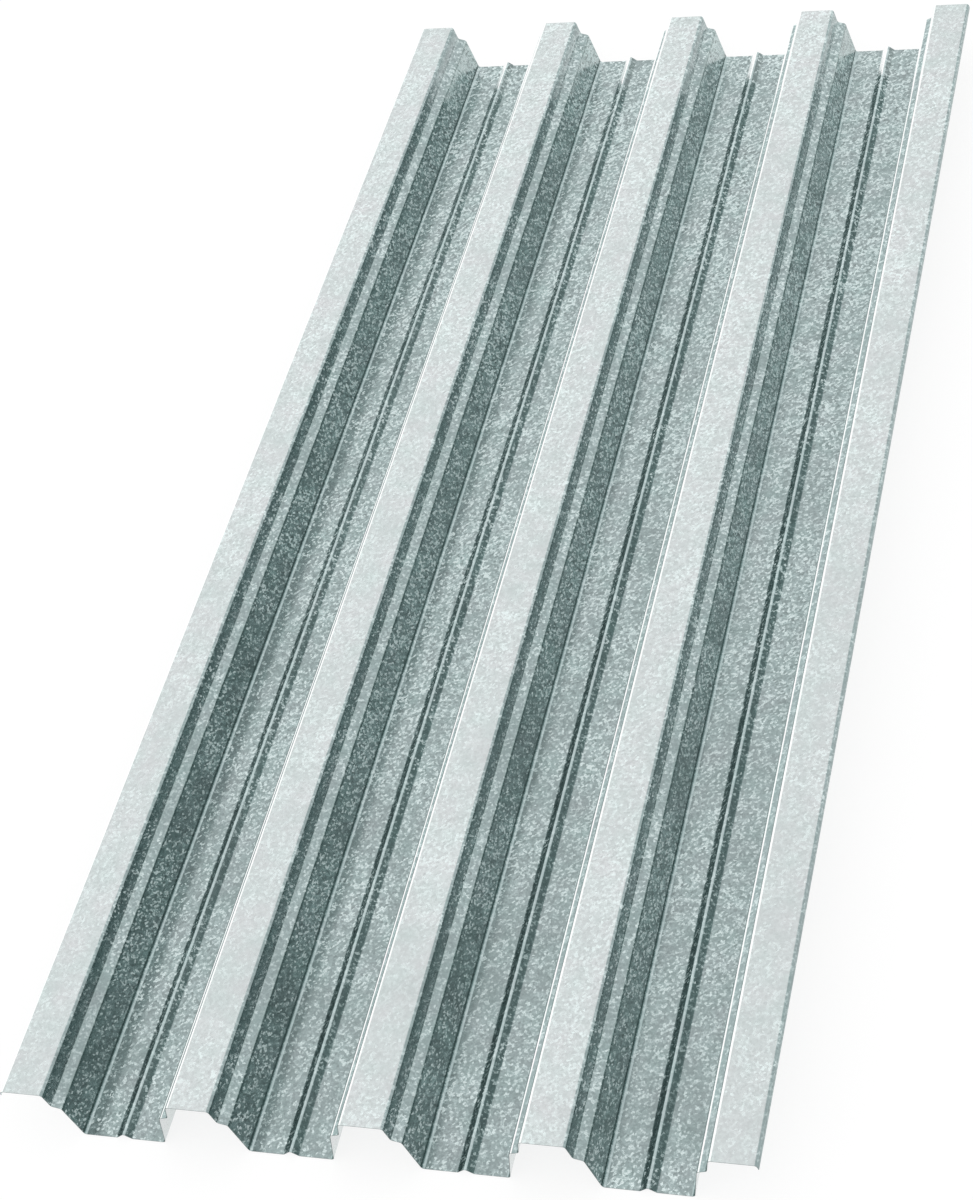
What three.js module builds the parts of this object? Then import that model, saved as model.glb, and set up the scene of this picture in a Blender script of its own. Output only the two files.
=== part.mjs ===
// Trapezoidal steel sheet: four deep waves, cold-rolled from one flat strip of galvanised steel.
//
// Millimetres, +Z up. The waves repeat along X and run straight along Y. The origin is at the middle of the
// sheet's footprint, on the surface that the wide flanges lie on.
//
// The section is drawn as the line of the sheet's top face. Half a wave is given by its fold points, from the
// middle of a narrow (upper) flange to the middle of a wide (lower) one, then mirrored to a whole wave and
// repeated. Every fold is rounded about a centre that both faces of the sheet share, so the thickness stays the
// same all along, and the closed outline is extruded over the length.

import * as THREE from 'three';

// ---- Driving dimensions -------------------------------------------------------------------------------------

const SHEET_LENGTH = 1800; // along the waves
const SHEET_THICKNESS = 0.7;
const SHEET_HEIGHT = 73; // over both faces, from the wide flanges' underside to the narrow flanges' top
const WAVE_COUNT = 4;
const WAVE_PITCH = 187.5;

const NARROW_FLANGE_WIDTH = 47.8; // between its fold points
const WEB_LEAN = THREE.MathUtils.degToRad(11); // of both parts of the web, away from upright
const UPPER_WEB_DROP = 20.3; // from the narrow flange to the step
const STEP_RUN = 10.5; // the stiffening step in each web, a nearly level ledge
const STEP_DROP = 3.5;

const VALLEY_RIB_WIDTH = 17.4; // the small stiffening rib along the middle of each wide flange
const VALLEY_RIB_SLOPE = THREE.MathUtils.degToRad(40);

const EDGE_LIP_LENGTH = 7; // the turned-down edge beyond the first and last narrow flange

const FOLD_RADIUS = 3.5; // inside the folds of the flanges and steps
const RIB_FOLD_RADIUS = 2.5; // inside the folds of the valley rib
const FACET_TURN = THREE.MathUtils.degToRad(10); // most that one facet of a fold turns

const STEEL_COLOUR = 0xb5c1be;
const STEEL_ROUGHNESS = 0.35;
const STEEL_METALNESS = 1;

// ---- Fold points of the top face ----------------------------------------------------------------------------

const crestZ = SHEET_HEIGHT;
const valleyZ = SHEET_THICKNESS; // the wide flanges' underside lies at 0
const sectionHalf = (WAVE_COUNT * WAVE_PITCH) / 2; // from the middle to the last narrow flange's middle

// Half a wave, as distances from the middle of the narrow flange. It ends at the crest of the valley rib, the
// one fold that the wave and its mirror image share.
function halfWaveFolds() {
  const stepTopZ = crestZ - UPPER_WEB_DROP;
  const stepFootZ = stepTopZ - STEP_DROP;
  const webTop = NARROW_FLANGE_WIDTH / 2;
  const stepTop = webTop + UPPER_WEB_DROP * Math.tan(WEB_LEAN);
  const stepFoot = stepTop + STEP_RUN;
  const webFoot = stepFoot + (stepFootZ - valleyZ) * Math.tan(WEB_LEAN);
  const ribMiddle = WAVE_PITCH / 2;
  const ribFoot = ribMiddle - VALLEY_RIB_WIDTH / 2;
  const ribApexZ = valleyZ + (VALLEY_RIB_WIDTH / 2) * Math.tan(VALLEY_RIB_SLOPE);
  return [
    { x: webTop, z: crestZ, radius: FOLD_RADIUS },
    { x: stepTop, z: stepTopZ, radius: FOLD_RADIUS },
    { x: stepFoot, z: stepFootZ, radius: FOLD_RADIUS },
    { x: webFoot, z: valleyZ, radius: FOLD_RADIUS },
    { x: ribFoot, z: valleyZ, radius: RIB_FOLD_RADIUS },
    { x: ribMiddle, z: ribApexZ, radius: RIB_FOLD_RADIUS },
  ];
}

const mirrored = (folds) => folds.map((fold) => ({ ...fold, x: -fold.x })).reverse();
const shifted = (folds, dx) => folds.map((fold) => ({ ...fold, x: fold.x + dx }));

// The outer fold of an edge flange and the end of its lip, which leans as the webs do.
function rightEdgeFolds() {
  const foldX = sectionHalf + NARROW_FLANGE_WIDTH / 2;
  return [
    { x: foldX, z: crestZ, radius: FOLD_RADIUS },
    {
      x: foldX + EDGE_LIP_LENGTH * Math.sin(WEB_LEAN),
      z: crestZ - EDGE_LIP_LENGTH * Math.cos(WEB_LEAN),
      radius: 0,
    },
  ];
}

function sectionFolds() {
  const half = halfWaveFolds();
  const folds = mirrored(rightEdgeFolds());
  for (let wave = 0; wave < WAVE_COUNT; wave += 1) {
    const start = wave * WAVE_PITCH - sectionHalf;
    folds.push(...shifted(half, start));
    folds.push(...shifted(mirrored(half.slice(0, -1)), start + WAVE_PITCH));
  }
  folds.push(...rightEdgeFolds());
  return folds.map((fold) => ({ point: new THREE.Vector2(fold.x, fold.z), radius: fold.radius }));
}

// ---- Rounded folds and thickness ----------------------------------------------------------------------------

const direction = (from, to) => to.point.clone().sub(from.point).normalize();
const leftOf = (way) => new THREE.Vector2(-way.y, way.x);

// Facing points of the top and the underside along one fold. The stated radius is that of the inside face, which
// is the underside where the sheet turns down and the top where it turns up.
function foldPairs(before, fold, after) {
  const arriving = direction(before, fold);
  const leaving = direction(fold, after);
  const turn = Math.atan2(arriving.cross(leaving), arriving.dot(leaving)); // positive turns up
  const outerRadius = fold.radius + SHEET_THICKNESS;
  const topRadius = turn < 0 ? outerRadius : fold.radius;
  const undersideRadius = turn < 0 ? fold.radius : outerRadius;
  const tangentLength = topRadius * Math.tan(Math.abs(turn) / 2);
  const towardCentre = leftOf(arriving).multiplyScalar(Math.sign(turn));
  const centre = fold.point.clone()
    .addScaledVector(arriving, -tangentLength)
    .addScaledVector(towardCentre, topRadius);
  const facets = Math.ceil(Math.abs(turn) / FACET_TURN);
  const pairs = [];
  for (let i = 0; i <= facets; i += 1) {
    const spoke = towardCentre.clone().negate().rotateAround(new THREE.Vector2(), (turn * i) / facets);
    pairs.push({
      top: centre.clone().addScaledVector(spoke, topRadius),
      underside: centre.clone().addScaledVector(spoke, undersideRadius),
    });
  }
  return pairs;
}

// The free edges are cut square to the sheet.
function edgePair(edge, way) {
  return { top: edge.point, underside: edge.point.clone().addScaledVector(leftOf(way), -SHEET_THICKNESS) };
}

function sectionShape() {
  const folds = sectionFolds();
  const last = folds.length - 1;
  const pairs = [edgePair(folds[0], direction(folds[0], folds[1]))];
  for (let i = 1; i < last; i += 1) {
    pairs.push(...foldPairs(folds[i - 1], folds[i], folds[i + 1]));
  }
  pairs.push(edgePair(folds[last], direction(folds[last - 1], folds[last])));
  return new THREE.Shape([
    ...pairs.map((pair) => pair.underside),
    ...pairs.map((pair) => pair.top).reverse(),
  ]);
}

// ---- The sheet ----------------------------------------------------------------------------------------------

function profiledSheet() {
  const geometry = new THREE.ExtrudeGeometry(sectionShape(), { depth: SHEET_LENGTH, bevelEnabled: false });
  geometry.translate(0, 0, -SHEET_LENGTH / 2);
  geometry.rotateX(Math.PI / 2); // stands the section upright and lays its length along Y
  const steel = new THREE.MeshStandardMaterial({
    color: STEEL_COLOUR,
    roughness: STEEL_ROUGHNESS,
    metalness: STEEL_METALNESS,
  });
  const mesh = new THREE.Mesh(geometry, steel);
  mesh.name = 'profiled_sheet';
  return mesh;
}

const group = new THREE.Group();
group.add(profiledSheet());

export default group;
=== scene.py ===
"""Galvanised trapezoidal steel sheet, lying on a pale studio floor. Metres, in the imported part's frame."""

import math

import bpy
from mathutils import Matrix, Vector


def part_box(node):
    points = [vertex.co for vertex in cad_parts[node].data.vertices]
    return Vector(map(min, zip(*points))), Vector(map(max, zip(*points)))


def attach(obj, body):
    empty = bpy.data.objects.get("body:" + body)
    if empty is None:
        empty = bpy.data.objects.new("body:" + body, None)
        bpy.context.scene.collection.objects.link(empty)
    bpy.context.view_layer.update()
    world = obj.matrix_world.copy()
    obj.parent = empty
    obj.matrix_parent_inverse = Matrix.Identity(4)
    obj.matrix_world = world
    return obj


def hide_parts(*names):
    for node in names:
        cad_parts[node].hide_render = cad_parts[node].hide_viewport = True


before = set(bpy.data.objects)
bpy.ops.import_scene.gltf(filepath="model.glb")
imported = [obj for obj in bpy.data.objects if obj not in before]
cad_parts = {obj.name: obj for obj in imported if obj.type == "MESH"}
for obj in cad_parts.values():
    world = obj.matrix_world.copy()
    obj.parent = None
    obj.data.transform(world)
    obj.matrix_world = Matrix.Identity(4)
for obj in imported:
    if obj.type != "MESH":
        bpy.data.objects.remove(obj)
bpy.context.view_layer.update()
MM = 0.001

# ---- Size of the sheet ---------------------------------------------------------------------------

SHEET_NODE = "profiled_sheet"
(_, _, floor_z), (_, half_length, sheet_height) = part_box(SHEET_NODE)
THICKNESS = 0.7 * MM
WAVE_COUNT = 4
WAVE_PITCH = 187.5 * MM
NARROW_FLANGE_WIDTH = 47.8 * MM
WEB_LEAN = math.radians(11)
UPPER_WEB_DROP = 20.3 * MM
STEP_RUN = 10.5 * MM
STEP_DROP = 3.5 * MM
VALLEY_RIB_WIDTH = 17.4 * MM
VALLEY_RIB_SLOPE = math.radians(40)
EDGE_LIP_LENGTH = 7 * MM
FOLD_RADIUS = 3.5 * MM
RIB_FOLD_RADIUS = 2.5 * MM
FACET_TURN = math.radians(4)
TOLERANCE = 1 * MM  # heights and places this close count as the same

# Zinc on each part of the section: its colour, in lit and shaded copies that hold the painted light and
# shade of each part, and how strongly the spangle shows in it.
ZINC_AND_PAINTED_LIGHT = {
    "valley": (0.362, 0.441, 0.441, 2.3),
    "step": (0.364, 0.45, 0.45, 1.65),
    "step_bend": (0.40, 0.495, 0.49, 1.5),
    "left_step": (0.36, 0.45, 0.45, 1.4),
    "flange_bend": (0.38, 0.47, 0.47, 1.5),
    "edge_bend": (0.34, 0.43, 0.43, 2.3),
    # Painted light: the narrow flanges are much paler than the valleys, steps and webs.
    "narrow_flange": (0.635, 0.685, 0.685, 0.95),
    # Painted shade: a dark band at the top of each web.
    "upper_web_top": (0.265, 0.34, 0.34, 1.5),
    "upper_web_foot": (0.40, 0.47, 0.47, 2.1),
    "lower_web": (0.358, 0.447, 0.443, 3.35),
    "lower_web_top": (0.20, 0.27, 0.265, 1.5),
    # Painted shade in the crease at the foot of each lower web.
    "crease": (0.10, 0.15, 0.145, 0.3),
    "web_foot": (0.44, 0.54, 0.54, 1.2),
    # Painted highlight, near white: on the bends that face left and along the start of each left step, and a
    # painted reflection on the far ends of the left sides of the valley ribs.
    "painted_highlight": (0.97, 0.985, 0.98, 0.3),
    # Painted shade on the left side of a valley rib, less on its right side, and a paler crest, painted
    # light.
    "rib_left": (0.195, 0.265, 0.262, 1.6),
    "rib_right": (0.256, 0.323, 0.321, 1.8),
    "rib_crest": (0.50, 0.60, 0.60, 1.2),
    # Painted light: the underside is paler than the valleys on the top.
    "underside": (0.70, 0.75, 0.745, 0.6),
}
# Width over which one part's colour and painted light fades into the next.
ZINC_AND_LIGHT_FADE = 0.4 * MM
CREASE_WIDTH = 3 * MM
RIB_FOOT_WIDTH = 1.3 * MM
# Width of the painted highlight along the start of a left step.
PAINTED_HIGHLIGHT_WIDTH = 0.6 * MM
# Painted reflection: at the far end, the left side of each valley rib is painted near white over this
# length, and fades in over the next.
PAINTED_REFLECTION_END = 61 * MM
PAINTED_REFLECTION_END_FADE = 3 * MM

# On a web the spangle is a little wider, and runs on a slant.
WEB_SPANGLE = 0.85
WEB_SLANT = 0.4


# ---- Section of the sheet ------------------------------------------------------------------------

def half_wave_folds():
    """Folds of the top face, from the middle of a narrow flange to the crest of a valley rib.

    Each is (x, z, inside radius), with x from the middle of the narrow flange.
    """
    crest_z, valley_z = sheet_height, THICKNESS
    step_top_z = crest_z - UPPER_WEB_DROP
    step_foot_z = step_top_z - STEP_DROP
    web_top = NARROW_FLANGE_WIDTH / 2
    step_top = web_top + UPPER_WEB_DROP * math.tan(WEB_LEAN)
    step_foot = step_top + STEP_RUN
    web_foot = step_foot + (step_foot_z - valley_z) * math.tan(WEB_LEAN)
    rib_half = VALLEY_RIB_WIDTH / 2
    rib_middle = WAVE_PITCH / 2
    return [
        (web_top, crest_z, FOLD_RADIUS),
        (step_top, step_top_z, FOLD_RADIUS),
        (step_foot, step_foot_z, FOLD_RADIUS),
        (web_foot, valley_z, FOLD_RADIUS),
        (rib_middle - rib_half, valley_z, RIB_FOLD_RADIUS),
        (rib_middle, valley_z + rib_half * math.tan(VALLEY_RIB_SLOPE), RIB_FOLD_RADIUS),
    ]


def mirrored(folds):
    return [(-x, z, radius) for x, z, radius in reversed(folds)]


def shifted(folds, dx):
    return [(x + dx, z, radius) for x, z, radius in folds]


def section_folds():
    """All folds from the left free edge to the right one."""
    section_half = WAVE_COUNT * WAVE_PITCH / 2
    fold_x = section_half + NARROW_FLANGE_WIDTH / 2
    lip_x = fold_x + EDGE_LIP_LENGTH * math.sin(WEB_LEAN)
    lip_z = sheet_height - EDGE_LIP_LENGTH * math.cos(WEB_LEAN)
    right_edge = [(fold_x, sheet_height, FOLD_RADIUS), (lip_x, lip_z, 0)]
    half = half_wave_folds()
    folds = mirrored(right_edge)
    for wave in range(WAVE_COUNT):
        start = wave * WAVE_PITCH - section_half
        folds += shifted(half, start) + shifted(mirrored(half[:-1]), start + WAVE_PITCH)
    return folds + right_edge


def left_of(way):
    return Vector((-way.y, way.x))


STEEP, TILTED, SLOPING = 0.9, 0.5, 0.1  # least rise of a web, of a valley rib's side and of a step
BEND_START, BEND_END = 0.2, 0.8  # shares of a bend


def flat_zinc_and_light(way, height):
    """Name of the zinc colour, with painted light and shade, of a flat that isn't a web. Its way is its
    direction, from left to right.
    """
    # The sides of a valley rib get their painted shade.
    if abs(way.y) > TILTED:
        return "rib_left" if way.y > 0 else "rib_right"
    if abs(way.y) > SLOPING:
        return "step" if way.y < 0 else "left_step"
    # The top flats get the paler narrow flange colour, painted light.
    return "narrow_flange" if height > sheet_height - TOLERANCE else "valley"


def bend_zinc_and_light(turn, arriving, leaving, share, height):
    """Name of the zinc colour, with painted light and shade, at a share of the way through a bend, which is
    convex where the turn is below 0.
    """
    steepest = max(abs(arriving.y), abs(leaving.y))
    if steepest < STEEP:
        if turn > 0:
            return "valley"
        # Over the crest of a valley rib: painted shade at its start, then the paler painted light of the
        # crest.
        return "rib_left" if share < BEND_START else "rib_crest"
    steepness = share if abs(leaving.y) > STEEP else 1 - share
    on_flange = height > sheet_height - TOLERANCE
    # Painted shade in the crease at the foot of a lower web.
    if turn > 0 and min(abs(arriving.y), abs(leaving.y)) < SLOPING:
        return "crease" if steepness > BEND_END else "web_foot"
    # Painted highlight on the convex bends that face left.
    if turn < 0 and arriving.y > STEEP:
        return "painted_highlight" if steepness > 0 or leaving.y > SLOPING else flat_zinc_and_light(leaving, height)
    if steepness > BEND_END:
        if turn > 0:
            return "upper_web_foot"
        return "upper_web_top" if on_flange else "lower_web_top"
    if on_flange:
        return "flange_bend" if steepness > BEND_START else "narrow_flange"
    return "step_bend" if steepness > BEND_START else "step"


def section_points():
    """Points of the top face from left to right: (place, outward normal, name of its zinc colour with
    painted light and shade).
    """
    folds = [(Vector((x, z)), radius) for x, z, radius in section_folds()]
    ways = [(b[0] - a[0]).normalized() for a, b in zip(folds, folds[1:])]
    points = [(folds[0][0], left_of(ways[0]), "edge_bend")]

    def lay_flat(end, way):
        """Adds inner points to a flat, so that a change of zinc colour and painted light stays beside its
        bends.
        """
        start, _, _ = points[-1]
        from_start = from_end = ZINC_AND_LIGHT_FADE
        if STEEP > way.y > TILTED:
            from_start = RIB_FOOT_WIDTH
        elif -STEEP < way.y < -TILTED:
            from_end = RIB_FOOT_WIDTH
        zinc_and_painted_light = flat_zinc_and_light(way, start.y)
        marks = [(start + way * from_start, zinc_and_painted_light), (end - way * from_end, zinc_and_painted_light)]
        # A left step starts with a strip of painted highlight.
        if TILTED > way.y > SLOPING:
            marks = [
                (start + way * PAINTED_HIGHLIGHT_WIDTH, "painted_highlight"),
                (start + way * (PAINTED_HIGHLIGHT_WIDTH + ZINC_AND_LIGHT_FADE), "left_step"),
                marks[1],
            ]
        # A web gets painted shade at its top, and a lower web also a dark painted crease at its foot.
        if abs(way.y) > STEEP:
            (top, foot), down = ((start, end), way) if way.y < 0 else ((end, start), -way)
            if top.y > sheet_height - 2 * FOLD_RADIUS:
                marks = [
                    (top + down * ZINC_AND_LIGHT_FADE, "upper_web_top"),
                    (foot - down * ZINC_AND_LIGHT_FADE, "upper_web_foot"),
                ]
            else:
                marks = [
                    (top + down * ZINC_AND_LIGHT_FADE, "lower_web_top"),
                    (top + down * CREASE_WIDTH, "lower_web"),
                    (foot - down * CREASE_WIDTH, "lower_web"),
                    (foot - down * CREASE_WIDTH / 2, "crease"),
                ]
            if way.y > 0:
                marks.reverse()
        points.extend((place, left_of(way), name) for place, name in marks)

    for (point, radius), arriving, leaving in zip(folds[1:-1], ways, ways[1:]):
        turn = math.atan2(arriving.x * leaving.y - arriving.y * leaving.x, arriving.dot(leaving))
        top_radius = radius + THICKNESS if turn < 0 else radius
        side = math.copysign(1, turn)
        start = point - arriving * top_radius * math.tan(abs(turn) / 2)
        centre = start + left_of(arriving) * side * top_radius
        lay_flat(start, arriving)
        facets = math.ceil(abs(turn) / FACET_TURN)
        for i in range(facets + 1):
            normal = left_of(arriving)
            normal.rotate(Matrix.Rotation(turn * i / facets, 2))
            name = bend_zinc_and_light(turn, arriving, leaving, i / facets, point.y)
            points.append((centre - normal * side * top_radius, normal, name))
    points.append((folds[-1][0], left_of(ways[-1]), "edge_bend"))
    return points


# ---- The sheet -----------------------------------------------------------------------------------

STEEL, CUT_EDGE = 0, 1  # places of the two materials on the mesh


def on_rib_left(name, normal):
    """Whether a point lies on the left side of a valley rib, up to its crest."""
    return name == "rib_left" or name == "rib_crest" and normal.x < 0


def build_sheet(steel, cut_edge):
    """One closed mesh: top, underside and the four cut edges. The normals are those of the true section."""
    points = section_points()
    last = len(points) - 1
    along, slants = [0.0], [0.0]
    for (a, _, _), (b, _, _) in zip(points, points[1:]):
        length, climb = (b - a).length, b.y - a.y
        steep = abs(climb) > STEEP * length
        along.append(along[-1] + length * (WEB_SPANGLE if steep else 1))
        slants.append(slants[-1] + (climb * WEB_SLANT if steep else 0))
    painted_reflection_from = half_length - PAINTED_REFLECTION_END
    vertices, zinc_and_painted_light, unrolled, flatness = [], [], [], []

    def row(y, depth):
        """Points across the sheet on its top (depth 0) or underside, with their zinc colour, painted light
        and shade, and unrolled place.
        """
        start = len(vertices)
        for (place, normal, name), distance, slant in zip(points, along, slants):
            inner = place - normal * depth
            vertices.append((inner.x, y, inner.y))
            # The whole underside gets its paler colour, painted light.
            if depth:
                name = "underside"
            # Painted reflection, near white, at the far end of the left side of a valley rib.
            elif y > painted_reflection_from - TOLERANCE and on_rib_left(name, normal):
                name = "painted_highlight"
            zinc_and_painted_light.extend(ZINC_AND_PAINTED_LIGHT[name])
            unrolled.extend((distance, y + slant, 1.0 if depth else 0.0))
            flatness.append(abs(normal.y))
        return range(start, len(vertices))

    rows_y = (-half_length, painted_reflection_from - PAINTED_REFLECTION_END_FADE, painted_reflection_from, half_length)
    tops = [row(y, 0) for y in rows_y]
    undersides = [row(y, THICKNESS) for y in rows_y]
    faces, normals, slots = [], [], []

    def face(corners, corner_normals, slot):
        faces.append(corners)
        normals.extend(corner_normals)
        slots.append(slot)

    outward = [Vector((normal.x, 0, normal.y)) for _, normal, _ in points]
    near, far = Vector((0, -1, 0)), Vector((0, 1, 0))
    left = Vector((-outward[0].z, 0, outward[0].x))
    right = Vector((outward[last].z, 0, -outward[last].x))
    for near_top, far_top, near_under, far_under in zip(tops, tops[1:], undersides, undersides[1:]):
        for i in range(last):
            j = i + 1
            start, end = outward[i], outward[j]
            top_normals, under_normals = (start, end, end, start), (-start, -end, -end, -start)
            face((near_top[i], near_top[j], far_top[j], far_top[i]), top_normals, STEEL)
            face((far_under[i], far_under[j], near_under[j], near_under[i]), under_normals, STEEL)
        face((near_under[0], near_top[0], far_top[0], far_under[0]), (left,) * 4, CUT_EDGE)
        face((near_top[last], near_under[last], far_under[last], far_top[last]), (right,) * 4, CUT_EDGE)
    for top, under, ending in ((tops[0], undersides[0], near), (tops[-1], undersides[-1], far)):
        for i in range(last):
            corners = (under[i], under[i + 1], top[i + 1], top[i])
            face(corners if ending is near else corners[::-1], (ending,) * 4, CUT_EDGE)

    mesh = bpy.data.meshes.new("galvanised_sheet")
    mesh.from_pydata(vertices, [], faces)
    mesh.materials.append(steel)
    mesh.materials.append(cut_edge)
    mesh.polygons.foreach_set("material_index", slots)
    mesh.polygons.foreach_set("use_smooth", [True] * len(faces))
    mesh.normals_split_custom_set(normals)
    mesh.attributes.new("zinc_and_painted_light", "FLOAT_COLOR", "POINT").data.foreach_set("color", zinc_and_painted_light)
    mesh.attributes.new("unrolled", "FLOAT_VECTOR", "POINT").data.foreach_set("vector", unrolled)
    mesh.attributes.new("flatness", "FLOAT", "POINT").data.foreach_set("value", flatness)
    sheet = bpy.data.objects.new("galvanised_sheet", mesh)
    bpy.context.scene.collection.objects.link(sheet)
    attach(sheet, "root")
    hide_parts(SHEET_NODE)


# ---- Materials -----------------------------------------------------------------------------------

def new_material(name):
    material = bpy.data.materials.new(name)
    material.use_nodes = True
    nodes = material.node_tree.nodes
    nodes.clear()
    return material, nodes, material.node_tree.links


STEEL_ROUGHNESS = 0.18
BUMP_HEIGHT = 0.012 * MM

# The spangle: crystals, each of its own brightness, mixed with distorted noise of about their size.
# It's coarser and stronger toward the far end.
CRYSTAL_SIZE, CRYSTAL_SOFTNESS, CRYSTAL_SHARE = 2.7 * MM, 0.25, 0.5
GRAIN_SIZE, GRAIN_DETAIL, GRAIN_DISTORTION, GRAIN_ROUGHNESS = 3.1 * MM, 1.5, 1.2, 0.6
SPANGLE_SHARE = 0.5
SPANGLE_FAR_SCALE = 0.88
SPANGLE_NEAR, SPANGLE_FAR = 0.82, 1.42

# Soft clouds and wide patches, in which the zinc is lighter or darker and the spangle stronger or weaker,
# and painted shade that drifts along the sheet, darker toward the near end and lighter toward the far end.
CLOUD_SIZE, CLOUD_DETAIL, CLOUD_RANGE = 30 * MM, 3, (0.35, 0.65)
PATCH_SIZE, PATCH_DETAIL, PATCH_RANGE = 160 * MM, 2, (0.38, 0.62)
CLOUD_CONTRAST, PATCH_CONTRAST = (0.75, 1.25), (0.7, 1.3)
CLOUD_SHARE, PATCH_SHARE = 0.22, 0.2
PAINTED_SHADE_NEAR, PAINTED_SHADE_FAR = -0.03, 0.02

# Areas of a slightly greener or redder zinc.
TINT_SIZE, TINT_DETAIL, TINT_OFFSET = 40 * MM, 2, (3, 0, 0)
TINT_SPREAD = (0.16, 0.0, 0.05)

# Bright flecks, with painted light that makes them palest on the level parts.
FLECK_FROM, FLECK_TO = 0.52, 0.75
FLECK_SHARE = 0.5
FLECK_PALENESS = 0.38
FLECK_COLOUR = (0.83, 0.95, 0.945, 1)

CUT_EDGE_COLOUR = (0.2, 0.24, 0.24, 1)
CUT_EDGE_ROUGHNESS = 0.5

# Places of the colour sockets of a Mix node, whose names are shared with its other sockets.
MIX_SHARE, MIX_A, MIX_B, MIX_RESULT = 0, 6, 7, 2


class Graph:
    """Short ways to add the shader nodes used below."""

    def __init__(self, material):
        self.nodes, self.links = material.node_tree.nodes, material.node_tree.links

    def link(self, source, socket):
        if isinstance(source, (int, float, tuple)):
            socket.default_value = source
        else:
            self.links.new(source, socket)

    def noise(self, place, size, detail, distortion=0.0, roughness=0.5):
        node = self.nodes.new("ShaderNodeTexNoise")
        node.inputs["Scale"].default_value = 1 / size
        node.inputs["Detail"].default_value = detail
        node.inputs["Distortion"].default_value = distortion
        node.inputs["Roughness"].default_value = roughness
        self.link(place, node.inputs["Vector"])
        return node.outputs["Fac"]

    def cells(self, place, size, smoothness):
        """Cells across X and Y, each of a random colour, which a Math node reads as a brightness."""
        node = self.nodes.new("ShaderNodeTexVoronoi")
        node.voronoi_dimensions = "2D"
        node.feature = "SMOOTH_F1"
        node.inputs["Scale"].default_value = 1 / size
        node.inputs["Smoothness"].default_value = smoothness
        self.link(place, node.inputs["Vector"])
        return node.outputs["Color"]

    def attribute(self, name, output):
        node = self.nodes.new("ShaderNodeAttribute")
        node.attribute_name = name
        return node.outputs[output]

    def vector(self, operation, *sources):
        """A vector step. In SCALE the second source is a value, the scale."""
        node = self.nodes.new("ShaderNodeVectorMath")
        node.operation = operation
        sockets = (node.inputs[0], node.inputs["Scale"]) if operation == "SCALE" else node.inputs
        for source, socket in zip(sources, sockets):
            self.link(source, socket)
        return node.outputs["Vector"]

    def math(self, operation, a, b=0.0, c=0.0):
        node = self.nodes.new("ShaderNodeMath")
        node.operation = operation
        for source, socket in zip((a, b, c), node.inputs):
            self.link(source, socket)
        return node.outputs[0]

    def centred(self, value):
        """The value of a noise or of cells, from their middle."""
        return self.math("SUBTRACT", value, 0.5)

    def rise(self, value, low, high, to_low=0.0, to_high=1.0):
        """A smooth step from to_low to to_high, as the value goes from low to high."""
        node = self.nodes.new("ShaderNodeMapRange")
        node.interpolation_type = "SMOOTHSTEP"
        node.inputs["From Min"].default_value = low
        node.inputs["From Max"].default_value = high
        node.inputs["To Min"].default_value = to_low
        node.inputs["To Max"].default_value = to_high
        self.link(value, node.inputs["Value"])
        return node.outputs["Result"]

    def mix(self, share, a, b):
        """The colour a, mixed with a share of the colour b."""
        node = self.nodes.new("ShaderNodeMix")
        node.data_type = "RGBA"
        node.clamp_factor = False
        self.link(share, node.inputs[MIX_SHARE])
        self.link(a, node.inputs[MIX_A])
        self.link(b, node.inputs[MIX_B])
        return node.outputs[MIX_RESULT]


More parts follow.
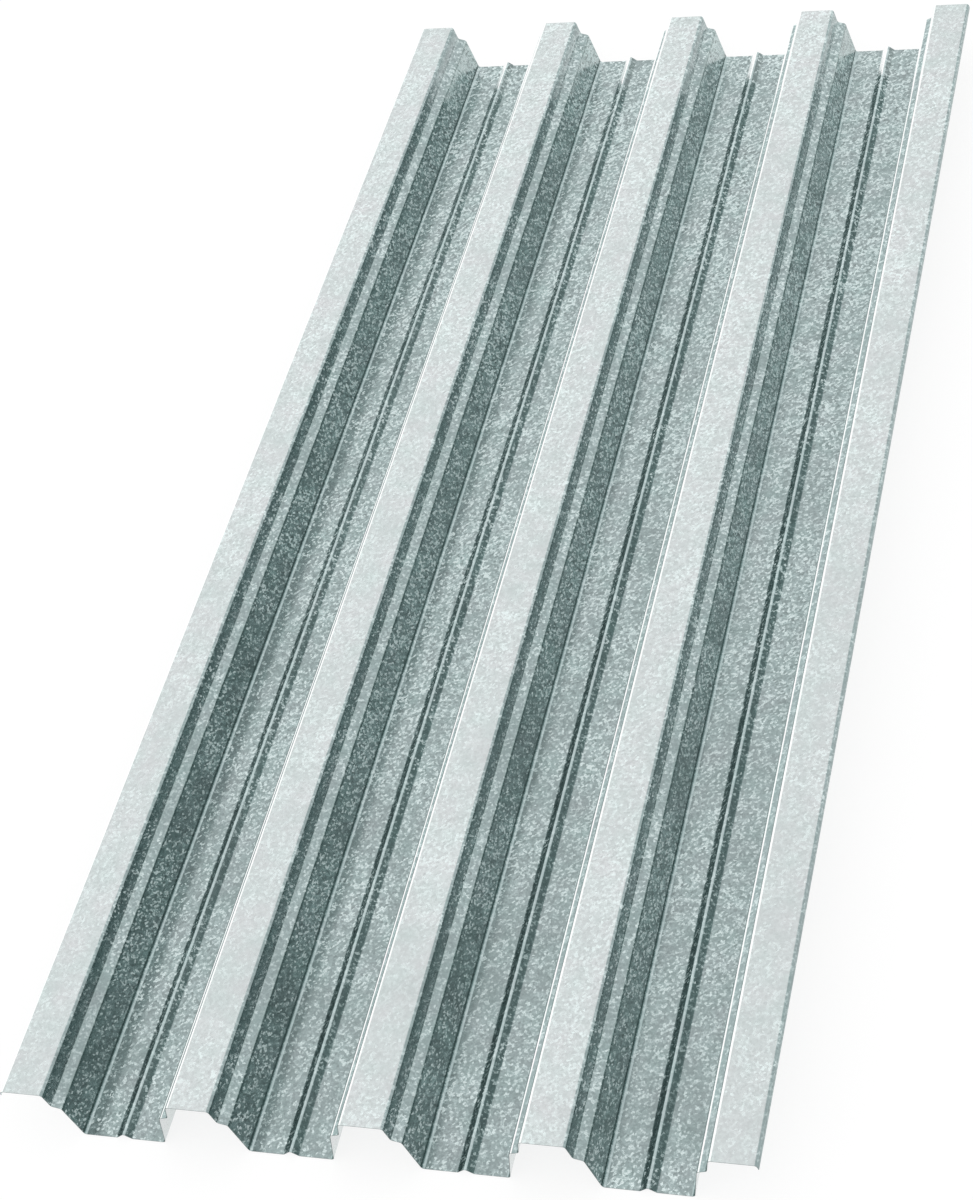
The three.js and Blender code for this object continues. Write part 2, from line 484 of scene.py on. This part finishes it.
def steel_material():
    """Hot-dip galvanised steel: zinc with a fine spangle and bright flecks, drawn on the unrolled sheet,
    over a colour per part of the section that holds painted light and shade.
    """
    material, nodes, links = new_material("galvanised_steel")
    graph = Graph(material)
    shader = nodes.new("ShaderNodeBsdfPrincipled")
    output = nodes.new("ShaderNodeOutputMaterial")
    links.new(shader.outputs["BSDF"], output.inputs["Surface"])
    place = graph.attribute("unrolled", "Vector")
    zinc_and_painted_light, strength = graph.attribute("zinc_and_painted_light", "Color"), graph.attribute("zinc_and_painted_light", "Alpha")
    axes = nodes.new("ShaderNodeSeparateXYZ")
    links.new(place, axes.inputs[0])

    def from_near_to_far(near, far):
        return graph.rise(axes.outputs["Y"], -half_length, half_length, near, far)

    fine_place = graph.vector("SCALE", place, from_near_to_far(1.0, SPANGLE_FAR_SCALE))
    crystals = graph.cells(fine_place, CRYSTAL_SIZE, CRYSTAL_SOFTNESS)
    grain = graph.noise(fine_place, GRAIN_SIZE, GRAIN_DETAIL, GRAIN_DISTORTION, GRAIN_ROUGHNESS)
    grain = graph.math("MULTIPLY", grain, 1 - CRYSTAL_SHARE)
    spangle = graph.math("MULTIPLY_ADD", crystals, CRYSTAL_SHARE, grain)
    cloud = graph.noise(place, CLOUD_SIZE, CLOUD_DETAIL)
    patch = graph.noise(place, PATCH_SIZE, PATCH_DETAIL)
    tint = graph.noise(graph.vector("ADD", place, TINT_OFFSET), TINT_SIZE, TINT_DETAIL)

    # How strongly the spangle shows: more in some clouds and patches, and toward the far end.
    cloud_contrast = graph.rise(cloud, *CLOUD_RANGE, *CLOUD_CONTRAST)
    patch_contrast = graph.rise(patch, *PATCH_RANGE, *PATCH_CONTRAST)
    contrast = graph.math("MULTIPLY", cloud_contrast, patch_contrast)
    contrast = graph.math("MULTIPLY", contrast, from_near_to_far(SPANGLE_NEAR, SPANGLE_FAR))

    # Brightness of the zinc, as a factor near 1, with painted shade along the sheet.
    shade = graph.math("MULTIPLY", graph.centred(spangle), SPANGLE_SHARE)
    # Painted shade: darker toward the near end, lighter toward the far end.
    shade = graph.math("MULTIPLY_ADD", shade, contrast, from_near_to_far(PAINTED_SHADE_NEAR, PAINTED_SHADE_FAR))
    shade = graph.math("MULTIPLY_ADD", graph.centred(cloud), CLOUD_SHARE, shade)
    shade = graph.math("MULTIPLY_ADD", graph.centred(patch), PATCH_SHARE, shade)
    shade = graph.math("MULTIPLY_ADD", shade, strength, 1.0)
    lean = graph.vector("SCALE", TINT_SPREAD, graph.centred(tint))
    tinted = graph.vector("SCALE", graph.vector("MULTIPLY_ADD", zinc_and_painted_light, lean, zinc_and_painted_light), shade)

    # The brightest crystals turn into pale, duller flecks.
    flecks = graph.math("MULTIPLY", graph.rise(spangle, FLECK_FROM, FLECK_TO), contrast)
    flecks = graph.math("MULTIPLY", flecks, strength)
    flecks = graph.math("MINIMUM", graph.math("MULTIPLY", flecks, FLECK_SHARE), 1.0)
    # Painted light: flecks on level parts go fully to the pale colour, on steep parts only partly.
    flatness = graph.attribute("flatness", "Fac")
    painted_fleck_paleness = graph.math("MULTIPLY_ADD", flatness, 1 - FLECK_PALENESS, FLECK_PALENESS)
    colour = graph.mix(flecks, tinted, graph.mix(painted_fleck_paleness, tinted, FLECK_COLOUR))
    links.new(colour, shader.inputs["Base Color"])
    links.new(graph.math("SUBTRACT", 1.0, flecks), shader.inputs["Metallic"])
    shader.inputs["Roughness"].default_value = STEEL_ROUGHNESS
    bump = nodes.new("ShaderNodeBump")
    bump.inputs["Distance"].default_value = BUMP_HEIGHT
    links.new(spangle, bump.inputs["Height"])
    links.new(bump.outputs["Normal"], shader.inputs["Normal"])
    return material


def cut_edge_material():
    material, nodes, links = new_material("cut_steel_edge")
    shader = nodes.new("ShaderNodeBsdfPrincipled")
    output = nodes.new("ShaderNodeOutputMaterial")
    links.new(shader.outputs["BSDF"], output.inputs["Surface"])
    shader.inputs["Base Color"].default_value = CUT_EDGE_COLOUR
    shader.inputs["Metallic"].default_value = 1.0
    shader.inputs["Roughness"].default_value = CUT_EDGE_ROUGHNESS
    return material


# ---- Floor, light and camera ---------------------------------------------------------------------

FLOOR_HALF = 60
FLOOR_GAP = 0.1 * MM
FLOOR_DIFFUSE = 0.2
FLOOR_GLOW = 0.82


def seen_or_mirrored(nodes, links):
    """1 for camera, glossy and transmission rays, 0 for diffuse ones, so the glow adds no diffuse light."""
    path = nodes.new("ShaderNodeLightPath")
    total = path.outputs["Is Camera Ray"]
    for name in ("Is Glossy Ray", "Is Transmission Ray"):
        add = nodes.new("ShaderNodeMath")
        add.operation = "ADD"
        add.use_clamp = True
        links.new(total, add.inputs[0])
        links.new(path.outputs[name], add.inputs[1])
        total = add.outputs[0]
    return total


def build_floor():
    """A pale floor. Its glow is seen, also in the metal, and its diffuse part takes the sheet's shadow."""
    material, nodes, links = new_material("studio_floor")
    diffuse = nodes.new("ShaderNodeBsdfDiffuse")
    diffuse.inputs["Color"].default_value = (FLOOR_DIFFUSE,) * 3 + (1,)
    glow = nodes.new("ShaderNodeEmission")
    strength = nodes.new("ShaderNodeMath")
    strength.operation = "MULTIPLY"
    strength.inputs[1].default_value = FLOOR_GLOW
    links.new(seen_or_mirrored(nodes, links), strength.inputs[0])
    links.new(strength.outputs[0], glow.inputs["Strength"])
    both = nodes.new("ShaderNodeAddShader")
    output = nodes.new("ShaderNodeOutputMaterial")
    links.new(diffuse.outputs[0], both.inputs[0])
    links.new(glow.outputs[0], both.inputs[1])
    links.new(both.outputs[0], output.inputs["Surface"])
    mesh = bpy.data.meshes.new("studio_floor")
    z = floor_z - FLOOR_GAP
    corners = [(x * FLOOR_HALF, y * FLOOR_HALF, z) for x, y in ((-1, -1), (1, -1), (1, 1), (-1, 1))]
    mesh.from_pydata(corners, [], [(0, 1, 2, 3)])
    mesh.materials.append(material)
    floor = bpy.data.objects.new("studio_floor", mesh)
    bpy.context.scene.collection.objects.link(floor)


WORLD_STRENGTH = 1.0
WORLD_SIDE = 0.15


def build_light():
    """A white world without lamps, a little stronger from the left than from the right."""
    world = bpy.data.worlds.new("studio")
    world.use_nodes = True
    nodes, links = world.node_tree.nodes, world.node_tree.links
    background = nodes["Background"]
    background.inputs["Color"].default_value = (1, 1, 1, 1)
    place = nodes.new("ShaderNodeTexCoord")
    axes = nodes.new("ShaderNodeSeparateXYZ")
    links.new(place.outputs["Generated"], axes.inputs[0])
    strength = nodes.new("ShaderNodeMapRange")
    strength.inputs["From Min"].default_value = -1  # straight left
    strength.inputs["From Max"].default_value = 1  # straight right
    strength.inputs["To Min"].default_value = WORLD_STRENGTH + WORLD_SIDE
    strength.inputs["To Max"].default_value = WORLD_STRENGTH - WORLD_SIDE
    links.new(axes.outputs["X"], strength.inputs["Value"])
    links.new(strength.outputs["Result"], background.inputs["Strength"])
    bpy.context.scene.world = world


CAMERA_AT = Vector((898.8, -2049.8, 2197.9)) * MM
CAMERA_AIM = Vector((-49.8, -176.2, 36.0)) * MM
CAMERA_ROLL = math.radians(-18.344)
CAMERA_FOCAL_PX = 2558.5
PHOTO_HEIGHT_PX = 1200
SENSOR_MM = 36
CLIP_NEAR, CLIP_FAR = 0.05, 200


def build_camera():
    """The photo's camera, solved from its fold lines, with no shift."""
    data = bpy.data.cameras.new("camera")
    data.sensor_fit = "AUTO"
    data.sensor_width = SENSOR_MM
    data.lens = CAMERA_FOCAL_PX / PHOTO_HEIGHT_PX * SENSOR_MM
    data.clip_start, data.clip_end = CLIP_NEAR, CLIP_FAR
    camera = bpy.data.objects.new("camera", data)
    forward = (CAMERA_AIM - CAMERA_AT).normalized()
    right = forward.cross(Vector((0, 0, 1))).normalized()
    up = right.cross(forward)
    cos_roll, sin_roll = math.cos(CAMERA_ROLL), math.sin(CAMERA_ROLL)
    tilted_right = right * cos_roll + up * sin_roll
    tilted_up = up * cos_roll - right * sin_roll
    turn = Matrix((tilted_right, tilted_up, -forward)).transposed()
    camera.matrix_world = Matrix.Translation(CAMERA_AT) @ turn.to_4x4()
    bpy.context.scene.collection.objects.link(camera)
    bpy.context.scene.camera = camera


build_sheet(steel_material(), cut_edge_material())
build_floor()
build_light()
build_camera()
bpy.context.scene.view_settings.view_transform = "Standard"
